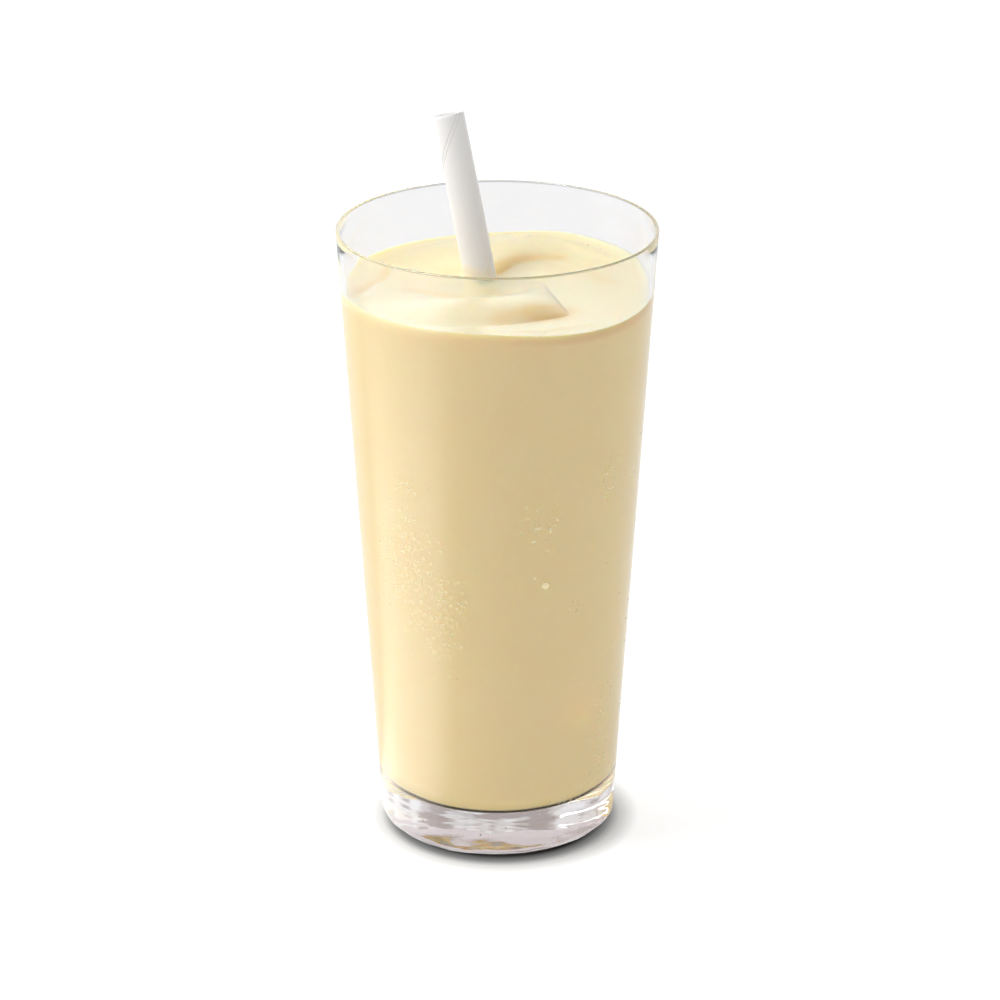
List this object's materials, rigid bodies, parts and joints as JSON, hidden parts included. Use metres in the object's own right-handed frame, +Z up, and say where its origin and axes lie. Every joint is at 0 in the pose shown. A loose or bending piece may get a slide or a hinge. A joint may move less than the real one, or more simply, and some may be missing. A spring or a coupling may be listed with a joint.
{
  "type": "vanilla milkshake in a glass",
  "caption": "Vanilla milkshake in a tall tapered tumbler with a thick clear base, a folded swirl on its surface and a white paper straw leaning in it.",
  "frame": {"origin": "centre of the tumbler's foot ring, on the table", "axes": "+Z up along the tumbler's centre line, -Y towards the viewer, +X to the viewer's right; the straw leans back and to the left"},
  "size_m": [0.08, 0.08, 0.1851],
  "materials": {
    "glass": "clear polished soda-lime glass",
    "milkshake": "smooth, wet, slightly translucent cream",
    "straw": "matt white paper wound in a spiral"
  },
  "bodies": {
    "root": {"glass": "glass", "milkshake": "milkshake", "straw": "straw"}
  },
  "joints": []
}
